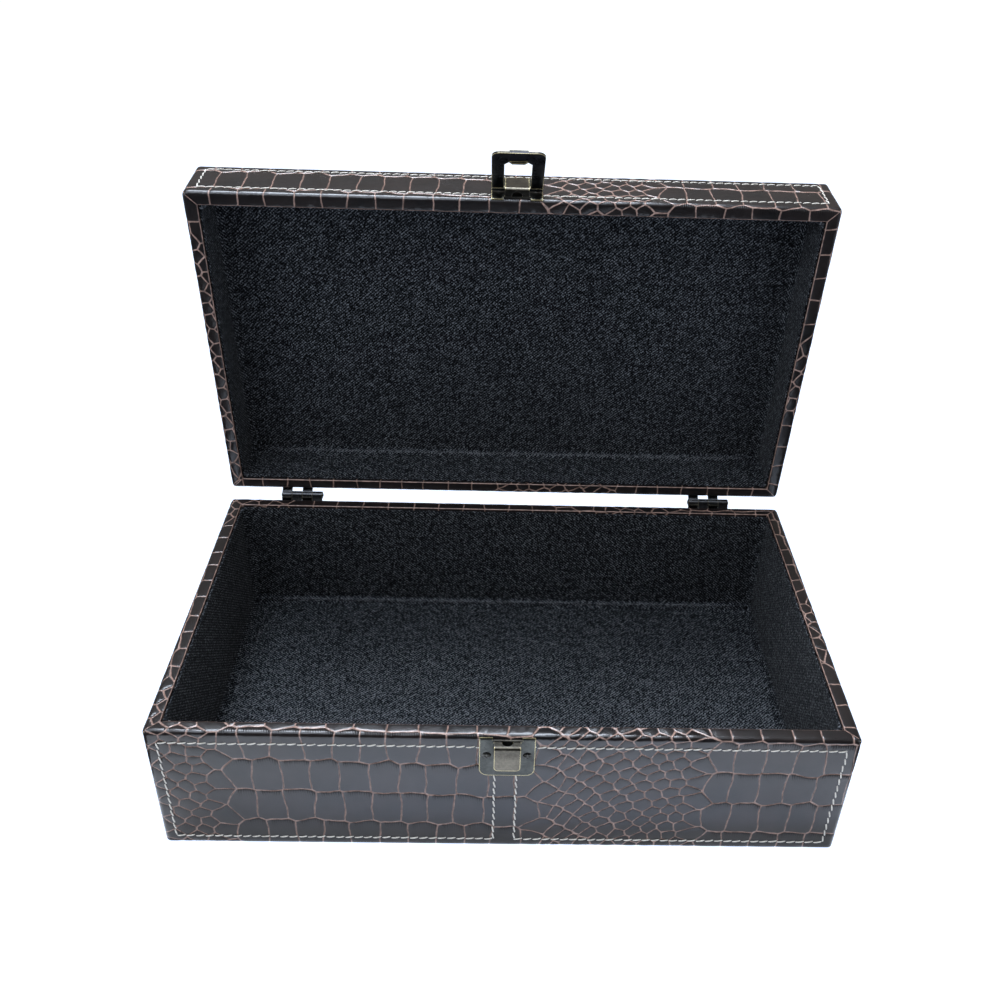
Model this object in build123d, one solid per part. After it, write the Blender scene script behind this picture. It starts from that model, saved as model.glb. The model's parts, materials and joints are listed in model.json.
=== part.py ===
from build123d import *
import os
from math import asin, degrees

# Storage box covered in embossed leatherette: a base and a lid of thin boards, two stop hinges
# and a hasp catch. Millimetres, +Z up, front towards -Y, origin at the centre of the underside.
# The lid stands open on its stops and the hasp loop is swung up, as the box is shown.

# Box
BOX_WIDTH = 320.0
BOX_DEPTH = 182.0
BASE_HEIGHT = 74.0
LID_HEIGHT = 32.5
RIM_GAP = 0.3  # air between the rims when the lid is shut
LID_OPEN_ANGLE = 85.0

# Boards, covers and linings
WALL_BOARD = 5.2
FLAT_BOARD = 2.5  # bottom of the base and top of the lid
COVER = 0.9  # leatherette
TURN_IN = 9.0  # cover folded over the rim and down inside the wall
TURN_UNDER = 6.5  # cover folded under the bottom
LINING = 1.0  # fabric on card
LINING_DROP = 1.5  # lining's edge below the rim
CORNER_RADIUS = 2.5  # upright corners
EDGE_RADIUS = 1.8  # rim and lid top
FOOT_RADIUS = 1.2  # edge that meets the table

# Screws
SEAT = 0.05  # metalwork off the cover's face
FIT = 0.05  # radial room round a shank or a pin
SHANK_RADIUS = 1.0
SHANK_POINT = 1.2
SCREW_BITE = 3.8  # shank in the board
SCREW_HEAD_RADIUS = 2.1
SCREW_HEAD_HEIGHT = 0.7
CROSS_WIDTH = 0.5
CROSS_LENGTH = 2.4
CROSS_DEPTH = 0.4

# Catch plates, one on each front wall
HASP_X = 1.0  # the catch sits a little right of the middle
PLATE = 0.8
PLATE_WIDTH = 25.0
PLATE_DROP = 24.0  # rim to the plate's far edge
PLATE_CORNER = 4.0
FLANGE_DROP = 0.2  # bent edge below the rim
CATCH_SCREW_SPREAD = 18.3
CATCH_SCREW_DROP = 11.0
TONGUE = 0.9
TONGUE_WIDTH = 11.8
TONGUE_DROP = 2.8  # rim to the tongue's root
TONGUE_END = 17.0  # rim to the tongue's free end
TONGUE_SLOPE = 0.5  # root stands further out than the free end
TONGUE_BEND = 1.0
TONGUE_CORNER = 2.0
NOTCH_RADIUS = 2.6  # relief at the tongue's root

# Hasp loop
LOOP_SHEET = 1.0
LOOP_WIDTH = 25.0
LOOP_CORNER = 4.0
ROLL_RADIUS = 1.0  # rolled near edge, held under the lid's tongue
ROLL_PLAY = 0.35
PIVOT_DROP = 8.0  # lid rim to the roll's axis
SIDE_PLAY = 0.6  # window to tongue, each side
LATCH_PLAY = 0.8  # window's far edge to the base tongue's end
WINDOW_CHAMFER = 2.0
FAR_BAR = 8.5
LIP_PLAY = 0.3  # lip's edge to the base plate when latched
LIP_TAPER = 1.5
FINGER_WIDTH = 9.0  # turned-up middle of the far edge
FINGER_LIFT = 0.7
LOOP_REST = 50.0  # swing from latched to the shown pose

# Stop hinges
HINGE_INSET = 40.5  # box's end to the hinge's middle
HINGE_LENGTH = 23.4
HINGE_OFFSET = 4.0  # pin axis behind the back wall
KNUCKLES = 4
KNUCKLE_GAP = 0.2
BARREL_RADIUS = 2.1
PIN_RADIUS = 0.9
PIN_END = 0.4
LEAF = 1.0
LEAF_DROP = 3.6  # rim to the leaf's near edge
LEAF_HEIGHT = 14.0
LEAF_CORNER = 2.0
LEAF_SCREW_SPREAD = 14.0
LEAF_SCREW_DROP = 11.0
HEEL_REACH = 7.0  # rim to the end of the stop heel, lid open
HEEL_SINK = 0.8  # heel run into the barrel
STOP_FIT = 0.05

MARGIN = 1.0  # cutters run past what they cut

WALL = COVER + WALL_BOARD
RIM = WALL + COVER
FRONT = -BOX_DEPTH / 2
BACK = BOX_DEPTH / 2
PLATE_FACE = SEAT + PLATE
LEAF_FACE = SEAT + LEAF
HINGE_X = BOX_WIDTH / 2 - HINGE_INSET
HINGE_Z = BASE_HEIGHT + RIM_GAP / 2
PIVOT_OUT = PLATE_FACE + ROLL_PLAY + ROLL_RADIUS
WINDOW_REACH = PIVOT_DROP + RIM_GAP + TONGUE_END + LATCH_PLAY
LOOP_LENGTH = WINDOW_REACH + FAR_BAR
HINGE_AXIS = Axis((0, BACK + HINGE_OFFSET, HINGE_Z), (1, 0, 0))
PIVOT_AXIS = Axis((0, FRONT - PIVOT_OUT, -PIVOT_DROP), (1, 0, 0))
SIDES = ("front", "right", "back", "left")


# Each half is drawn with its rim at Z 0 and its body below, then put in place.
def on_base(shape):
    return Pos(0, 0, BASE_HEIGHT) * shape


def on_lid(shape):
    shut = Pos(0, 0, BASE_HEIGHT + RIM_GAP) * mirror(shape, about=Plane.XY)
    return shut.rotate(HINGE_AXIS, -LID_OPEN_ANGLE)


def block(x0, x1, y0, y1, z0, z1):
    middle = ((x0 + x1) / 2, (y0 + y1) / 2, (z0 + z1) / 2)
    return Pos(*middle) * Box(x1 - x0, y1 - y0, z1 - z0)


def tub(inset, z0, z1):
    """The box's footprint, drawn in by inset on all four sides."""
    x = BOX_WIDTH / 2 - inset
    y = BOX_DEPTH / 2 - inset
    return block(-x, x, -y, y, z0, z1)


def ring(outer, inner, z0, z1):
    return tub(outer, z0, z1) - tub(inner, z0, z1)


def corners(inset):
    x = BOX_WIDTH / 2 - inset
    y = BOX_DEPTH / 2 - inset
    return [(-x, -y), (x, -y), (x, y), (-x, y)]


def mitred(shape, height):
    """A ring of wall cut at its four corners into the four sides."""
    near = corners(0)
    far = corners(RIM + LINING + TURN_UNDER)
    pieces = {}
    for i, side in enumerate(SIDES):
        j = (i + 1) % len(SIDES)
        plan = Polygon(near[i], near[j], far[j], far[i], align=None)
        pieces[side] = shape & (Pos(0, 0, -height) * extrude(plan, height))
    return pieces


def rounded_block(height, far_radius):
    """Outside of one half: rounded upright corners, rim and far edge."""
    solid = Pos(0, 0, -height) * extrude(RectangleRounded(BOX_WIDTH, BOX_DEPTH, CORNER_RADIUS), height)
    levels = solid.edges().group_by(Axis.Z)
    solid = fillet(levels[-1], EDGE_RADIUS)
    return fillet(solid.edges().group_by(Axis.Z)[0], far_radius)


def catch_screw_points():
    return [(HASP_X + side * CATCH_SCREW_SPREAD / 2, -CATCH_SCREW_DROP) for side in (-1, 1)]


def leaf_screw_points(hinge_x):
    return [(hinge_x + side * LEAF_SCREW_SPREAD / 2, -LEAF_SCREW_DROP) for side in (-1, 1)]


def y_rod(x, z, radius, y0, y1):
    return Pos(x, (y0 + y1) / 2, z) * Rot(90, 0, 0) * Cylinder(radius, y1 - y0)


def x_rod(y, z, radius, x0, x1):
    return Pos((x0 + x1) / 2, y, z) * Rot(0, 90, 0) * Cylinder(radius, x1 - x0)


def pilot_holes():
    radius = SHANK_RADIUS + FIT
    depth = COVER + SCREW_BITE + FIT
    front = [y_rod(x, z, radius, FRONT - MARGIN, FRONT + depth) for x, z in catch_screw_points()]
    points = leaf_screw_points(-HINGE_X) + leaf_screw_points(HINGE_X)
    back = [y_rod(x, z, radius, BACK - depth, BACK + MARGIN) for x, z in points]
    return front + back


def half(height, panel_inset, far_radius):
    """Boards, covers and linings of the base or the lid."""
    floor = -height + COVER + FLAT_BOARD
    holes = pilot_holes()
    outside = rounded_block(height, far_radius)
    fold = ring(WALL, RIM, -TURN_IN, 0)

    core = tub(COVER, -height + COVER, -COVER) - fold
    core += tub(RIM, -TURN_IN - MARGIN, MARGIN)
    panel = tub(panel_inset, -height - MARGIN, -height + COVER)
    covers = mitred(outside - core - panel - holes, height)
    covers["flat"] = outside & panel

    x = BOX_WIDTH / 2
    y = BOX_DEPTH / 2
    boards = {
        "front": block(COVER - x, x - COVER, COVER - y, WALL - y, floor, -COVER) - holes,
        "back": block(COVER - x, x - COVER, y - WALL, y - COVER, floor, -COVER) - holes,
        "left": block(COVER - x, WALL - x, WALL - y, y - WALL, floor, -COVER),
        "right": block(x - WALL, x - COVER, WALL - y, y - WALL, floor, -COVER),
        "flat": tub(COVER, -height + COVER, floor),
    }

    linings = mitred(ring(WALL, RIM + LINING, floor, -LINING_DROP) - fold, height)
    linings["flat"] = tub(RIM + LINING, floor, floor + LINING)
    return {"board": boards, "cover": covers, "lining": linings}


def screw(grip):
    """Domed cross-head screw along Z, its head seated at Z 0 on what it grips."""
    ball = (SCREW_HEAD_RADIUS**2 + SCREW_HEAD_HEIGHT**2) / (2 * SCREW_HEAD_HEIGHT)
    r = SCREW_HEAD_RADIUS
    head = Pos(0, 0, SCREW_HEAD_HEIGHT - ball) * Sphere(ball) & block(-r, r, -r, r, 0, SCREW_HEAD_HEIGHT)
    slot = Pos(0, 0, SCREW_HEAD_HEIGHT) * Box(CROSS_LENGTH, CROSS_WIDTH, 2 * CROSS_DEPTH)
    head -= slot + Rot(0, 0, 90) * slot
    straight = grip + SCREW_BITE - SHANK_POINT
    shank = Pos(0, 0, -straight / 2) * Cylinder(SHANK_RADIUS, straight)
    tip = Pos(0, 0, -straight - SHANK_POINT / 2) * Cone(SHANK_RADIUS / 3, SHANK_RADIUS, SHANK_POINT)
    return head + shank + tip


def catch_screws():
    model = Rot(90, 0, 0) * screw(PLATE_FACE + COVER)
    return [Pos(x, FRONT - PLATE_FACE, z) * model for x, z in catch_screw_points()]


def leaf_screws(hinge_x):
    model = Rot(-90, 0, 0) * screw(LEAF_FACE + COVER)
    return [Pos(x, BACK + LEAF_FACE, z) * model for x, z in leaf_screw_points(hinge_x)]


def front_section(x):
    """Upright plane square to the front wall: X runs outwards, Y up."""
    return Plane(origin=(x, FRONT, 0), x_dir=(0, -1, 0), z_dir=(-1, 0, 0))


def front_sheet(out, z):
    """Plane parallel to the front wall, facing outwards."""
    return Plane(origin=(HASP_X, FRONT - out, z), x_dir=(1, 0, 0), z_dir=(0, -1, 0))


def tongue():
    tip_out = PLATE_FACE + 2 * (ROLL_RADIUS + ROLL_PLAY) + TONGUE / 2
    path = FilletPolyline(
        (SEAT + PLATE / 2, -TONGUE_DROP),
        (tip_out + TONGUE_SLOPE, -TONGUE_DROP),
        (tip_out, -TONGUE_END),
        radius=TONGUE_BEND,
    )
    section = front_section(HASP_X) * trace(path, TONGUE)
    solid = extrude(section, TONGUE_WIDTH / 2, both=True)
    end_edges = solid.edges().filter_by(lambda e: e.length < 2 * TONGUE).sort_by(Axis.Z)[:2]
    solid = fillet(end_edges, TONGUE_CORNER)
    notch = Pos(HASP_X, FRONT - PLATE_FACE, -TONGUE_DROP) * Cylinder(NOTCH_RADIUS, 2 * TONGUE)
    room = block(-BOX_WIDTH / 2, BOX_WIDTH / 2, FRONT - tip_out, FRONT - PLATE_FACE, -PLATE_DROP, 0)
    return solid - (notch & room)


def flange(x0, x1):
    """Plate's near edge bent round the rim."""
    inner = EDGE_RADIUS + SEAT
    outer = inner + PLATE
    wrap = degrees(asin((EDGE_RADIUS - FLANGE_DROP) / outer))
    centre = (-EDGE_RADIUS, -EDGE_RADIUS)
    arcs = [CenterArc(centre, radius, 0, wrap) for radius in (inner, outer)]
    ends = [Line(arcs[0] @ t, arcs[1] @ t) for t in (0, 1)]
    return extrude(front_section(x1) * make_face(arcs + ends), x1 - x0)


def catch_plate():
    height = PLATE_DROP - EDGE_RADIUS
    outline = Pos(0, -EDGE_RADIUS - height / 2) * Rectangle(PLATE_WIDTH, height)
    outline = fillet(outline.vertices().group_by(Axis.Y)[0], PLATE_CORNER)
    solid = extrude(front_sheet(SEAT, 0) * outline, PLATE)
    solid += flange(HASP_X - PLATE_WIDTH / 2, HASP_X - TONGUE_WIDTH / 2 - SIDE_PLAY)
    solid += flange(HASP_X + TONGUE_WIDTH / 2 + SIDE_PLAY, HASP_X + PLATE_WIDTH / 2)
    solid += tongue()
    radius = SHANK_RADIUS + FIT
    return solid - [y_rod(x, z, radius, FRONT - PLATE_FACE, FRONT) for x, z in catch_screw_points()]


def hasp_loop():
    """Loop on the lid, drawn latched, then swung to the shown pose."""
    half_window = TONGUE_WIDTH / 2 + SIDE_PLAY
    shoulder = half_window - WINDOW_CHAMFER
    inner_face = PIVOT_OUT + ROLL_RADIUS - LOOP_SHEET
    sheet = front_sheet(inner_face, -PIVOT_DROP)
    outline = Pos(0, LOOP_LENGTH / 2) * Rectangle(LOOP_WIDTH, LOOP_LENGTH)
    outline = fillet(outline.vertices().group_by(Axis.Y)[-1], LOOP_CORNER)
    window = Polygon(
        (-half_window, ROLL_RADIUS),
        (half_window, ROLL_RADIUS),
        (half_window, WINDOW_REACH - WINDOW_CHAMFER),
        (shoulder, WINDOW_REACH),
        (-shoulder, WINDOW_REACH),
        (-half_window, WINDOW_REACH - WINDOW_CHAMFER),
        align=None,
    )
    solid = extrude(sheet * (outline - window), LOOP_SHEET)
    solid += x_rod(
        FRONT - PIVOT_OUT, -PIVOT_DROP, ROLL_RADIUS, HASP_X - LOOP_WIDTH / 2, HASP_X + LOOP_WIDTH / 2
    )

    lip_depth = inner_face - PLATE_FACE - LIP_PLAY
    lip = Polygon(
        (-shoulder, 0),
        (shoulder, 0),
        (shoulder - LIP_TAPER, lip_depth),
        (LIP_TAPER - shoulder, lip_depth),
        align=None,
    )
    lip_plane = Plane(origin=(HASP_X, FRONT - inner_face, WINDOW_REACH - PIVOT_DROP), z_dir=(0, 0, 1))
    solid += extrude(lip_plane * lip, LOOP_SHEET)

    finger_half = FINGER_WIDTH / 2
    outer_face = FRONT - inner_face - LOOP_SHEET
    far_edge = LOOP_LENGTH - PIVOT_DROP
    finger = block(
        HASP_X - finger_half,
        HASP_X + finger_half,
        outer_face - FINGER_LIFT,
        outer_face,
        far_edge - LOOP_SHEET,
        far_edge,
    )
    return (solid + finger).rotate(PIVOT_AXIS, LOOP_REST)


def knuckle_span(hinge_x, index):
    pitch = HINGE_LENGTH / KNUCKLES
    start = hinge_x - HINGE_LENGTH / 2 + index * pitch
    return start + KNUCKLE_GAP / 2, start + pitch - KNUCKLE_GAP / 2


def back_section(x):
    """Upright plane square to the back wall: X runs outwards, Y up."""
    return Plane(origin=(x, BACK, 0), x_dir=(0, 1, 0), z_dir=(1, 0, 0))


def leaf(hinge_x, first_knuckle):
    """Leaf screwed to the back wall, with every second knuckle of the hinge."""
    x0 = hinge_x - HINGE_LENGTH / 2
    x1 = hinge_x + HINGE_LENGTH / 2
    plate = block(x0, x1, BACK + SEAT, BACK + LEAF_FACE, -LEAF_DROP - LEAF_HEIGHT, -LEAF_DROP)
    solid = fillet(plate.edges().filter_by(Axis.Y).group_by(Axis.Z)[0], LEAF_CORNER)
    pin_z = RIM_GAP / 2
    strap = Polygon(
        (SEAT, -LEAF_DROP),
        (LEAF_FACE, -LEAF_DROP),
        (HINGE_OFFSET - BARREL_RADIUS + LEAF, pin_z),
        (HINGE_OFFSET - BARREL_RADIUS, pin_z),
        align=None,
    )
    section = strap + Pos(HINGE_OFFSET, pin_z) * Circle(BARREL_RADIUS)
    section -= Pos(HINGE_OFFSET, pin_z) * Circle(PIN_RADIUS + FIT)
    for index in range(first_knuckle, KNUCKLES, 2):
        start, end = knuckle_span(hinge_x, index)
        solid += extrude(back_section(start) * section, end - start)
    radius = SHANK_RADIUS + FIT
    return solid - [y_rod(x, z, radius, BACK, BACK + LEAF_FACE) for x, z in leaf_screw_points(hinge_x)]


def stop_heels(hinge_x, first_knuckle):
    """Heels on the lid's knuckles that meet the base leaf when the lid is open."""
    out0 = BACK + LEAF_FACE + STOP_FIT
    out1 = BACK + HINGE_OFFSET - BARREL_RADIUS + HEEL_SINK
    spans = [knuckle_span(hinge_x, index) for index in range(first_knuckle, KNUCKLES, 2)]
    return [block(x0, x1, out0, out1, BASE_HEIGHT - HEEL_REACH, HINGE_Z) for x0, x1 in spans]


def hinge_pin(hinge_x):
    x0 = hinge_x - HINGE_LENGTH / 2 - PIN_END
    x1 = hinge_x + HINGE_LENGTH / 2 + PIN_END
    return x_rod(BACK + HINGE_OFFSET, HINGE_Z, PIN_RADIUS, x0, x1)


def box_nodes():
    """Boards, covers and linings of both halves."""
    base_names = {"board": "bottom_board", "cover": "bottom_cover", "lining": "floor_lining"}
    lid_names = {"board": "top_board", "cover": "top_cover", "lining": "top_lining"}
    halves = (
        ("base", on_base, half(BASE_HEIGHT, TURN_UNDER, FOOT_RADIUS), base_names),
        ("lid", on_lid, half(LID_HEIGHT, -MARGIN, EDGE_RADIUS), lid_names),
    )
    nodes = {}
    for prefix, place, layers, flat_names in halves:
        for layer, pieces in layers.items():
            for side, piece in pieces.items():
                name = flat_names[layer] if side == "flat" else f"{side}_{layer}"
                nodes[f"{prefix}_{name}"] = place(piece)
    return nodes


def metal_nodes():
    """Catch, hinges and screws."""
    nodes = {
        "base_catch_plate": on_base(catch_plate()),
        "lid_catch_plate": on_lid(catch_plate()),
        "base_catch_screws": [on_base(piece) for piece in catch_screws()],
        "lid_catch_screws": [on_lid(piece) for piece in catch_screws()],
        "base_hinge_screws": [],
        "lid_hinge_screws": [],
        "hasp_loop": on_lid(hasp_loop()),
    }
    lid_first, base_first = 0, 1
    for side, hinge_x in (("left", -HINGE_X), ("right", HINGE_X)):
        nodes[f"hinge_{side}_base_leaf"] = on_base(leaf(hinge_x, base_first))
        nodes[f"hinge_{side}_lid_leaf"] = on_lid(leaf(hinge_x, lid_first)) + stop_heels(hinge_x, lid_first)
        nodes[f"hinge_{side}_pin"] = hinge_pin(hinge_x)
        nodes["base_hinge_screws"] += [on_base(piece) for piece in leaf_screws(hinge_x)]
        nodes["lid_hinge_screws"] += [on_lid(piece) for piece in leaf_screws(hinge_x)]
    return nodes


os.makedirs("parts", exist_ok=True)
for name, shape in (box_nodes() | metal_nodes()).items():
    solids = shape if isinstance(shape, list) else [shape]
    export_step(Compound([solid for piece in solids for solid in piece.solids()]), f"parts/{name}.step")
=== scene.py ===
import json
from math import ceil, cos, floor, hypot, pi, radians, sin, sqrt, tau

import bmesh
import bpy
import numpy as np
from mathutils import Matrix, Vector


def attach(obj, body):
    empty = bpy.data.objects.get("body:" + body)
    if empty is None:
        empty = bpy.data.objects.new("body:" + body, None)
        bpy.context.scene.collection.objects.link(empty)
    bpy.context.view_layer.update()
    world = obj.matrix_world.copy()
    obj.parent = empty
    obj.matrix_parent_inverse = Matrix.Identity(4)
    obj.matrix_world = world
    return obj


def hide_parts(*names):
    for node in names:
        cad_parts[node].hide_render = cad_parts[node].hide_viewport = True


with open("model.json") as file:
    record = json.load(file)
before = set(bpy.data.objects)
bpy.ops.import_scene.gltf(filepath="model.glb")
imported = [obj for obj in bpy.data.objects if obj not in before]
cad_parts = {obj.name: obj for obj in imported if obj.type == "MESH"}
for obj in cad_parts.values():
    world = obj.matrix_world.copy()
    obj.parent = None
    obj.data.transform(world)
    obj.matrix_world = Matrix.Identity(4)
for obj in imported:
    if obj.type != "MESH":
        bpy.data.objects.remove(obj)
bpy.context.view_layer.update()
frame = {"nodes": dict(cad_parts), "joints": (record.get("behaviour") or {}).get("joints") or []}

# Looks of a storage box covered in embossed leatherette.
# Lengths are millimetres, apart from those of the stage and lights, which are metres.
MM = 0.001
SIDES = ("front", "right", "back", "left")
HINGE = next(joint for joint in frame["joints"] if joint["name"] == "lid_hinge")
PIVOT = np.array(HINGE["pos_m"]) / MM
SHUT_TURN = radians(HINGE["range_deg"][1])


def swung(points, angle):
    """Points turned about the lid's hinge."""
    out = np.array(points, float)
    y = out[..., 1] - PIVOT[1]
    z = out[..., 2] - PIVOT[2]
    out[..., 1] = PIVOT[1] + y * np.cos(angle) - z * np.sin(angle)
    out[..., 2] = PIVOT[2] + y * np.sin(angle) + z * np.cos(angle)
    return out


def node_box(name, lid=False):
    """Lowest and highest corner of a CAD node, with the lid shut."""
    points = np.array([vertex.co for vertex in frame["nodes"][name].data.vertices]) / MM
    points = swung(points, SHUT_TURN) if lid else points
    return points.min(0), points.max(0)


# Sizes taken from the frame
FRONT_COVER = node_box("base_front_cover")
FRONT_LINING = node_box("base_front_lining")
LID_COVER = node_box("lid_front_cover", True)
LID_LINING = node_box("lid_front_lining", True)
WIDTH = -2 * node_box("base_left_cover")[0][0]
FRONT = FRONT_COVER[0][1]
DEPTH = -2 * FRONT
BASE_TOP = FRONT_COVER[1][2]
LID_RIM = LID_COVER[0][2]
LID_TOP = node_box("lid_top_cover", True)[1][2]
RIM = FRONT_COVER[1][1] - FRONT
LINING_FACE = FRONT_LINING[1][1] - FRONT
LINING_TOP = FRONT_LINING[1][2]
FLOOR = node_box("base_floor_lining")[1][2]
LID_LINING_EDGE = LID_LINING[0][2]
CEILING = node_box("lid_top_lining", True)[0][2]
LID_HEIGHT = LID_TOP - LID_RIM
TURN_UNDER = node_box("base_bottom_cover")[0][1] - FRONT
CATCH_MIDDLE = sum(corner[0] for corner in node_box("base_catch_plate")) / 2
SHELF_HALF = 6.7  # half the root of a catch's tongue
SHELF_DROP = 2.42  # rim to just below the tongue's flat root

# Rounding, as on the solids, with the rims a little fuller
CORNER_RADIUS = 2.5
EDGE_RADIUS = 2.2
FOOT_RADIUS = 1.2
FOLD_RADIUS = 0.7

# Hide
FOLD_SHOWN = 4.0  # cover inside the wall, down to where the lining holds it
HIDE = 0.6
TILE_WIDTH = 13.6
TILE_HEIGHT = 20.2
TILE_LEAN = -0.07
TILE_JOG = (1.9, 0.5)
ROW_SHIFT = 2.0
ROW_SWAY = 2.9  # rows drift up and down round the box
SWAY_START = 40
SWAY_PERIOD = 502
ODD_SHARE = 0.07  # tiles out of line
ODD_JOG = 3.6
TILE_SIZE = 4.4  # a scale with this much room round its middle counts as a tile
OVAL_WIDTH = 7.4
OVAL_HEIGHT = 6.0
OVAL_JOG = (0.6, 0.5)
OVAL_MARGIN = 3  # ovals keep this far inside their patch
OVAL_ROOM = (60, 15)  # slanting rows start this far below a strip and end this far above it
SLANT_EASE = 0.5  # rows of ovals flatten across a patch
OVAL_STRETCH = 1.2  # and their ovals close up
OVAL_SHRINK = 0.25
GROOVE_DEPTH = 0.42
FLANK_DEPTH = 0.25  # share of the depth on a groove's flank
GROOVE_FLANK = 0.23
LEVEL_FLANK = 0.13  # level grooves are this much wider on each side
GROOVE_SHOULDER = 0.75
OVAL_CREASE = 0.62  # crease along the upper edge of an oval, its coat taken away as painted shade, a dark crescent like a shadow
OVAL_SHOULDER = 1.0
COMB_REACH = 3.0  # band of wrinkles under the level grooves, with painted shade in their combed strokes
COMB_SINK = 0.14
TILE_BANDS = ((GROOVE_SHOULDER, -0.07, 0.8), (COMB_REACH, -0.02, 0.15))  # inset, height, share of the combing and its painted shade
OVAL_BANDS = ((OVAL_CREASE, -0.16, 0.92), (OVAL_SHOULDER, -0.12, 0.1))
EDGE_DEPTH = 0.18  # grooves are shallower where the hide bends
EDGE_SAMPLE = 2.6
TILE_COMB = (0.5, 0.35)  # how far up an edge faces before it is combed and given painted shade, and the fade after that
OVAL_COMB = (0.1, 0.5)
SMALL_INSET = 0.55  # rings draw in on scales too small for them
MOST_DRAW = 0.7
CROWN = 0.5  # innermost ring, as a share of the one before
TILE_CROWN = -0.01
OVAL_CROWN = -0.03
NEIGHBOURS = 60
SHEET_MARGIN = 2
WELD = 0.03
SEAM_TINT = 0.8  # groove colour along the mitres and the inner rim edge
MITRE_WIDTH = 0.6
RIM_LINE = 0.5
RIM_FULL = 1.25
EDGE_CALM = 0.8  # grooves are shallow up to this share of a bend's radius
CORNER_CUTS = (0, 1 / 3, 2 / 3, 1)
BEND_CUTS = (-1, -0.5, 0, 0.5, 1)
SHARP = radians(65)
SEED = 7
BASE_ROW_LINE = -6.0  # a groove between two rows runs this far above the foot
LID_ROW_LINE = 3.0  # above the lid's rim edge
TOP_ROW_LINE = 2.0  # behind the lid's front edge

# Stitching
STITCH_PITCH = 4.4
STITCH_LENGTH = 4.6
STITCH_WIDTH = 0.74
STITCH_RISE = 0.5
STITCH_SLANT = radians(11)
STITCH_STRAY = 0.08
SLANT_STRAY = 0.03
STITCH_ARCH = (0.30, 0.60)  # rise of a stitch's middle, and its fall to the ends
PLY_STEP = 7.3  # the twist starts afresh at each stitch

RIB_ACROSS = 2.0  # repeat of the lining's weave
RIB_UP = 1.8

# Camera, from the fit of the box to the photograph, in pixels, millimetres and degrees
PHOTO = 1000
FOCAL = 1052.654
CENTRE_X = 523.408
CENTRE_Y = 470.920
CAMERA_AT = (-7.267, -417.887, 425.230)
CAMERA_TURN = (57.13394, -1.83852, -0.68790)
SENSOR = 36.0



def linked(name, data):
    piece = bpy.data.objects.new(name, data)
    bpy.context.scene.collection.objects.link(piece)
    return piece


def new_mesh(name, points, faces):
    mesh = bpy.data.meshes.new(name)
    mesh.from_pydata(points, [], faces)
    return mesh


camera_data = bpy.data.cameras.new("camera")
camera_data.sensor_width = SENSOR
camera_data.lens = FOCAL * SENSOR / PHOTO
camera_data.shift_x = (PHOTO / 2 - CENTRE_X) / PHOTO
camera_data.shift_y = (CENTRE_Y - PHOTO / 2) / PHOTO
camera = linked("camera", camera_data)
camera.location = [value * MM for value in CAMERA_AT]
camera.rotation_euler = [radians(value) for value in CAMERA_TURN]
bpy.context.scene.camera = camera
bpy.context.scene.view_settings.view_transform = "Standard"


# Materials
MIX_FIRST, MIX_SECOND, MIX_RESULT = 6, 7, 2  # colour sockets of a Mix node
WAVE_TURN = 10  # radians that a diagonal Wave texture turns in each unit along an axis


class Shader:
    """A material and short ways to add nodes to it."""

    def __init__(self, name, **values):
        self.material = bpy.data.materials.new(name)
        self.material.use_nodes = True
        self.tree = self.material.node_tree
        self.main = self.tree.nodes["Principled BSDF"]
        for key, value in values.items():
            self.main.inputs[key.replace("_", " ")].default_value = value

    def add(self, kind, inputs=None, **settings):
        node = self.tree.nodes.new(kind)
        for key, value in settings.items():
            setattr(node, key, value)
        for key, value in (inputs or {}).items():
            if isinstance(value, bpy.types.NodeSocket):
                self.tree.links.new(value, node.inputs[key])
            else:
                node.inputs[key].default_value = value
        return node

    def feed(self, socket, key):
        self.tree.links.new(socket, self.main.inputs[key])

    def noise(self, vector, scale, detail=3.0, roughness=0.5):
        inputs = {"Vector": vector, "Scale": scale, "Detail": detail, "Roughness": roughness}
        return self.add("ShaderNodeTexNoise", inputs).outputs["Fac"]

    def spot(self, kind="Object"):
        return self.add("ShaderNodeTexCoord").outputs[kind]

    def attribute(self, name):
        return self.add("ShaderNodeAttribute", attribute_name=name).outputs["Fac"]

    def wave(self, vector, scale, direction, **shape):
        inputs = {"Vector": vector, "Scale": scale}
        inputs.update({key.replace("_", " "): value for key, value in shape.items()})
        return self.add("ShaderNodeTexWave", inputs, bands_direction=direction).outputs["Fac"]

    def dot(self, first, second):
        node = self.add("ShaderNodeVectorMath", {0: first, 1: second}, operation="DOT_PRODUCT")
        return node.outputs["Value"]

    def ramp(self, value, *stops):
        node = self.add("ShaderNodeValToRGB", {"Fac": value})
        elements = node.color_ramp.elements
        while len(elements) < len(stops):
            elements.new(0.5)
        for element, (place, colour) in zip(elements, stops):
            element.position = place
            element.color = (*colour, 1) if hasattr(colour, "__len__") else (colour, colour, colour, 1)
        return node.outputs["Color"]

    def math(self, operation, first, second):
        return self.add("ShaderNodeMath", {0: first, 1: second}, operation=operation).outputs[0]

    def mix(self, share, first, second):
        inputs = {"Factor": share, MIX_FIRST: first, MIX_SECOND: second}
        return self.add("ShaderNodeMix", inputs, data_type="RGBA").outputs[MIX_RESULT]

    def bump(self, height, distance_mm, strength=1.0, coated=False):
        inputs = {"Height": height, "Strength": strength, "Distance": distance_mm * MM}
        node = self.add("ShaderNodeBump", inputs)
        self.feed(node.outputs["Normal"], "Normal")
        if coated:
            self.feed(node.outputs["Normal"], "Coat Normal")


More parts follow.
